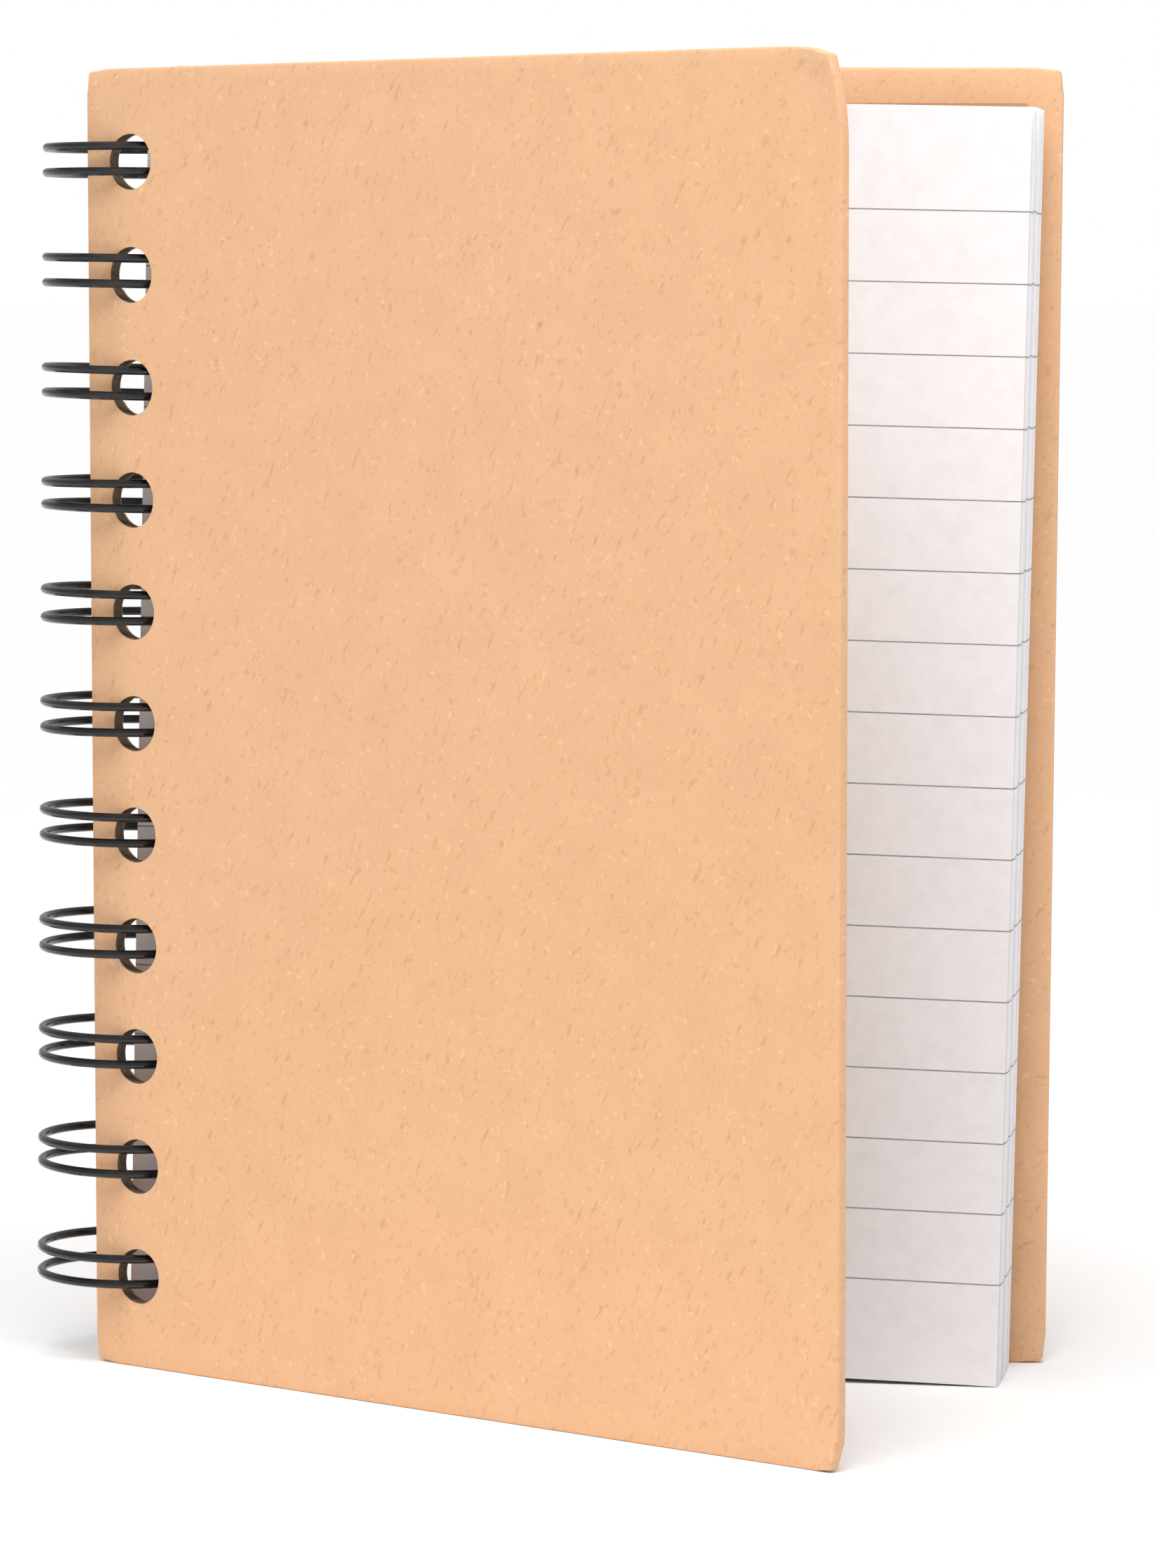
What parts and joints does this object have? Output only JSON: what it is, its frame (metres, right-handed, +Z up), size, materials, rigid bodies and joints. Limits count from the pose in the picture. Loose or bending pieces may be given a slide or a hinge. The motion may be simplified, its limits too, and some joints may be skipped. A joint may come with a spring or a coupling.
{
  "type": "wire-bound notebook",
  "caption": "Pocket notebook with kraft board covers and ruled sheets on a black twin-loop wire binding, standing open on its lower edges.",
  "frame": {"origin": "bottom centre of the bounding box of the notebook as it stands open, on the surface it stands on", "axes": "+Z up along the height of the covers, +X from the wire binding towards the fore edges of the sheets, -Y towards the side that the front cover opens to"},
  "size_m": [0.118, 0.0824, 0.1489],
  "materials": {
    "kraft_board": "matt uncoated kraft paper over greyboard",
    "greyboard": "raw pressed greyboard",
    "ruled_paper": "matt uncoated writing paper, thin grey rules",
    "black_wire": "gloss black nylon coating"
  },
  "bodies": {
    "middle_leaves": {"leaf_04": "ruled_paper", "leaf_05": "ruled_paper", "leaf_06": "ruled_paper", "leaf_07": "ruled_paper"},
    "front_leaves": {"sheet_02": "ruled_paper", "sheet_03": "ruled_paper", "leaf_01": "ruled_paper", "leaf_02": "ruled_paper", "leaf_03": "ruled_paper"},
    "first_sheet": {"sheet_01": "ruled_paper"},
    "front_cover": {"front_cover_board": "greyboard", "front_cover_wrap": "kraft_board", "front_cover_liner": "kraft_board"},
    "rear_leaves": {"leaf_08": "ruled_paper", "leaf_09": "ruled_paper", "leaf_10": "ruled_paper"},
    "wire_binding": {"wire_binding": "black_wire"},
    "back_cover": {"back_cover_board": "greyboard", "back_cover_wrap": "kraft_board", "back_cover_liner": "kraft_board"}
  },
  "joints": [
    {"name": "front_cover_turn", "type": "hinge", "parent": "middle_leaves", "child": "front_cover", "pos_m": [-0.04733, 0.03027, 0.07445], "axis": [0.0138, -0.0022, 0.9999], "range_deg": [-150, 27.6]},
    {"name": "front_leaves_turn", "type": "hinge", "parent": "middle_leaves", "child": "front_leaves", "pos_m": [-0.04733, 0.03027, 0.07445], "axis": [0.0138, -0.0022, 0.9999], "range_deg": [-14, 0.8]},
    {"name": "first_sheet_turn", "type": "hinge", "parent": "front_leaves", "child": "first_sheet", "pos_m": [-0.04733, 0.03027, 0.07445], "axis": [0.0138, -0.0022, 0.9999], "range_deg": [-12, 0.4]},
    {"name": "rear_leaves_turn", "type": "hinge", "parent": "middle_leaves", "child": "rear_leaves", "pos_m": [-0.04733, 0.03027, 0.07445], "axis": [0.0138, -0.0022, 0.9999], "range_deg": [-0.4, 140]},
    {"name": "binding_roll", "type": "hinge", "parent": "rear_leaves", "child": "wire_binding", "pos_m": [-0.04733, 0.03027, 0.07445], "axis": [0.0138, -0.0022, 0.9999], "range_deg": [0, 6]},
    {"name": "back_cover_turn", "type": "hinge", "parent": "wire_binding", "child": "back_cover", "pos_m": [-0.04733, 0.03027, 0.07445], "axis": [0.0138, -0.0022, 0.9999], "range_deg": [-0.4, 31]}
  ]
}
